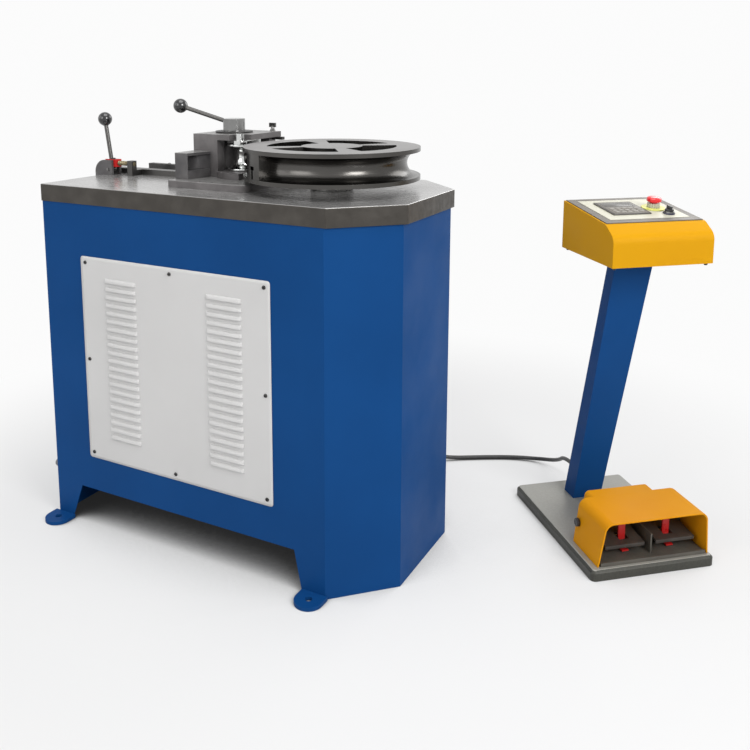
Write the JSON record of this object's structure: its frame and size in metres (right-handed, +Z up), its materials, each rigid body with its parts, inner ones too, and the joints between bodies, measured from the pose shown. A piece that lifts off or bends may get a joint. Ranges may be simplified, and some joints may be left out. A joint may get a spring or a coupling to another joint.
{
  "type": "motorized pipe bender",
  "caption": "Floor-standing rotary draw pipe bender with grooved former, counter-roller carriage, levers, and a cabled control pedestal with a guarded foot switch.",
  "frame": {"origin": "middle of the machine's four floor bolts, at the floor", "axes": "+X along the worktop to the cut-corner end and the pedestal, louvred front faces -Y, +Z up"},
  "size_m": [1.7024, 1.0334, 1.1726],
  "materials": {
    "cabinet_shell": "smooth blue enamel",
    "foot_lugs": "smooth blue enamel",
    "worktop": "ground steel, slightly reflective",
    "louvre_panel": "off-white enamel",
    "panel_screws": "blackened button heads",
    "cable_glands": "moulded grey plastic",
    "bearing_flange": "machined casting",
    "motor_hanger": "black primer",
    "gearbox": "cast aluminium",
    "motor": "grey enamel",
    "guide_rail": "blackened steel",
    "rail_screws": "zinc-plated heads",
    "lever_bracket": "dark enamel",
    "lever_pin": "turned steel",
    "pedestal_base": "hammered grey enamel",
    "column": "smooth blue enamel",
    "box_shell": "smooth yellow enamel",
    "box_floor": "dark primer",
    "box_screws": "plated screws",
    "panel_frame": "grey border",
    "panel_overlay": "cream overlay",
    "display": "dark keypad display",
    "estop_collar": "yellow ring",
    "selector_base": "dark collar",
    "foot_guard": "smooth yellow enamel",
    "guard_screws": "dark knob heads",
    "pedal_tray": "dark grey enamel",
    "pedal_axle": "turned steel",
    "control_cable": "black sheath",
    "former": "polished groove, matt turned top",
    "spindle": "turned steel",
    "gear_wheel": "hobbed steel",
    "pipe_hook": "machined steel",
    "drive_pinion": "hobbed steel",
    "slide_base": "dark grey",
    "roller_pad": "dark grey",
    "slide_key": "ground steel",
    "post_block": "dark grey",
    "housing_body": "dark grey",
    "housing_cap": "dark grey, worn top",
    "push_bar": "ground steel",
    "feed_rod": "dull brass",
    "feed_clevis": "red enamel",
    "roller_yoke": "polished steel",
    "roller_axle": "polished steel",
    "counter_roller": "polished steel",
    "clamp_hub": "turned steel",
    "clamp_washer": "blackened washer",
    "clamp_rod": "turned steel",
    "clamp_knob": "black moulded ball",
    "stop_bar": "blackened steel",
    "stop_screw": "plated steel",
    "feed_lever": "turned steel",
    "feed_knob": "black moulded ball",
    "estop_button": "red mushroom head",
    "selector_knob": "dark knob with bright grip",
    "pedal_left": "dark enamel",
    "pedal_right": "dark enamel",
    "latch_left": "red enamel",
    "latch_right": "red enamel"
  },
  "bodies": {
    "machine": {"cabinet_shell": "cabinet_shell", "foot_lugs": "foot_lugs", "worktop": "worktop", "louvre_panel": "louvre_panel", "panel_screws": "panel_screws", "cable_glands": "cable_glands", "bearing_flange": "bearing_flange", "motor_hanger": "motor_hanger", "gearbox": "gearbox", "motor": "motor", "guide_rail": "guide_rail", "rail_screws": "rail_screws", "lever_bracket": "lever_bracket", "lever_pin": "lever_pin", "pedestal_base": "pedestal_base", "column": "column", "box_shell": "box_shell", "box_floor": "box_floor", "box_screws": "box_screws", "panel_frame": "panel_frame", "panel_overlay": "panel_overlay", "display": "display", "estop_collar": "estop_collar", "selector_base": "selector_base", "foot_guard": "foot_guard", "guard_screws": "guard_screws", "pedal_tray": "pedal_tray", "pedal_axle": "pedal_axle", "control_cable": "control_cable"},
    "former_assembly": {"former": "former", "spindle": "spindle", "gear_wheel": "gear_wheel", "pipe_hook": "pipe_hook"},
    "pinion": {"drive_pinion": "drive_pinion"},
    "carriage": {"slide_base": "slide_base", "roller_pad": "roller_pad", "slide_key": "slide_key", "post_block": "post_block", "housing_body": "housing_body", "housing_cap": "housing_cap", "push_bar": "push_bar", "feed_rod": "feed_rod", "feed_clevis": "feed_clevis"},
    "yoke": {"roller_yoke": "roller_yoke", "roller_axle": "roller_axle"},
    "roller": {"counter_roller": "counter_roller"},
    "clamp_lever": {"clamp_hub": "clamp_hub", "clamp_washer": "clamp_washer", "clamp_rod": "clamp_rod", "clamp_knob": "clamp_knob"},
    "pipe_stop": {"stop_bar": "stop_bar"},
    "wing_screw": {"stop_screw": "stop_screw"},
    "feed_handle": {"feed_lever": "feed_lever", "feed_knob": "feed_knob"},
    "stop_button": {"estop_button": "estop_button"},
    "selector": {"selector_knob": "selector_knob"},
    "left_pedal": {"pedal_left": "pedal_left"},
    "right_pedal": {"pedal_right": "pedal_right"},
    "left_latch": {"latch_left": "latch_left"},
    "right_latch": {"latch_right": "latch_right"}
  },
  "joints": [
    {"name": "former_turn", "type": "hinge", "parent": "machine", "child": "former_assembly", "pos_m": [0.305, 0, 1], "axis": [0, 0, 1], "range_deg": [0, 190]},
    {"name": "pinion_turn", "type": "hinge", "parent": "machine", "child": "pinion", "pos_m": [0.1175, 0, 0.8], "axis": [0, 0, 1], "range_deg": [-760, 0]},
    {"name": "carriage_slide", "type": "slide", "parent": "machine", "child": "carriage", "axis": [1, 0, 0], "range_m": [-0.01, 0]},
    {"name": "feed_lever_swing", "type": "hinge", "parent": "machine", "child": "feed_handle", "pos_m": [-0.412, -0.031, 0.966], "axis": [0, 1, 0], "range_deg": [-31.1, 0]},
    {"name": "yoke_slide", "type": "slide", "parent": "carriage", "child": "yoke", "axis": [1, 0, 0], "range_m": [-0.005, 0]},
    {"name": "clamp_lever_turn", "type": "hinge", "parent": "carriage", "child": "clamp_lever", "pos_m": [-0.018, 0.027, 1.09], "axis": [0, 0, 1], "range_deg": [0, 60.1]},
    {"name": "roller_spin", "type": "hinge", "parent": "yoke", "child": "roller", "pos_m": [0.031, 0, 1.02], "axis": [0, 0, 1], "continuous": true},
    {"name": "stop_bar_slide", "type": "slide", "parent": "carriage", "child": "pipe_stop", "axis": [1, 0, 0], "range_m": [-0.01, 0.01]},
    {"name": "wing_screw_turn", "type": "hinge", "parent": "carriage", "child": "wing_screw", "pos_m": [0.046, 0.121, 1.09], "axis": [0, 0, 1], "range_deg": [0, 180]},
    {"name": "stop_button_push", "type": "slide", "parent": "machine", "child": "stop_button", "axis": [-0.076, 0.0874, -0.9933], "range_m": [0, 0.005]},
    {"name": "selector_turn", "type": "hinge", "parent": "machine", "child": "selector", "pos_m": [1.07699, 0.35823, 0.89072], "axis": [0.076, -0.0874, 0.9933], "range_deg": [0, 60]},
    {"name": "left_pedal_press", "type": "hinge", "parent": "machine", "child": "left_pedal", "pos_m": [0.98528, 0.2671, 0.066], "axis": [0.7547, 0.6561, 0], "range_deg": [0, 6], "stiffness_Nm_per_rad": 8, "springref_deg": -5.73},
    {"name": "left_latch_tilt", "type": "hinge", "parent": "machine", "child": "left_latch", "pos_m": [1.02488, 0.23527, 0.041], "axis": [-0.7547, -0.6561, 0], "range_deg": [0, 6], "stiffness_Nm_per_rad": 0.3, "springref_deg": -11.46},
    {"name": "right_pedal_press", "type": "hinge", "parent": "machine", "child": "right_pedal", "pos_m": [1.09245, 0.36027, 0.066], "axis": [0.7547, 0.6561, 0], "range_deg": [0, 6], "stiffness_Nm_per_rad": 8, "springref_deg": -5.73},
    {"name": "right_latch_tilt", "type": "hinge", "parent": "machine", "child": "right_latch", "pos_m": [1.11997, 0.31794, 0.041], "axis": [-0.7547, -0.6561, 0], "range_deg": [0, 6], "stiffness_Nm_per_rad": 0.3, "springref_deg": -11.46}
  ],
  "couplings": [
    {"joint": "pinion_turn", "follows": "former_turn", "ratio": -4},
    {"joint": "feed_lever_swing", "follows": "carriage_slide", "rad_per_m": 54.189},
    {"joint": "clamp_lever_turn", "follows": "yoke_slide", "rad_per_m": -209.44}
  ]
}
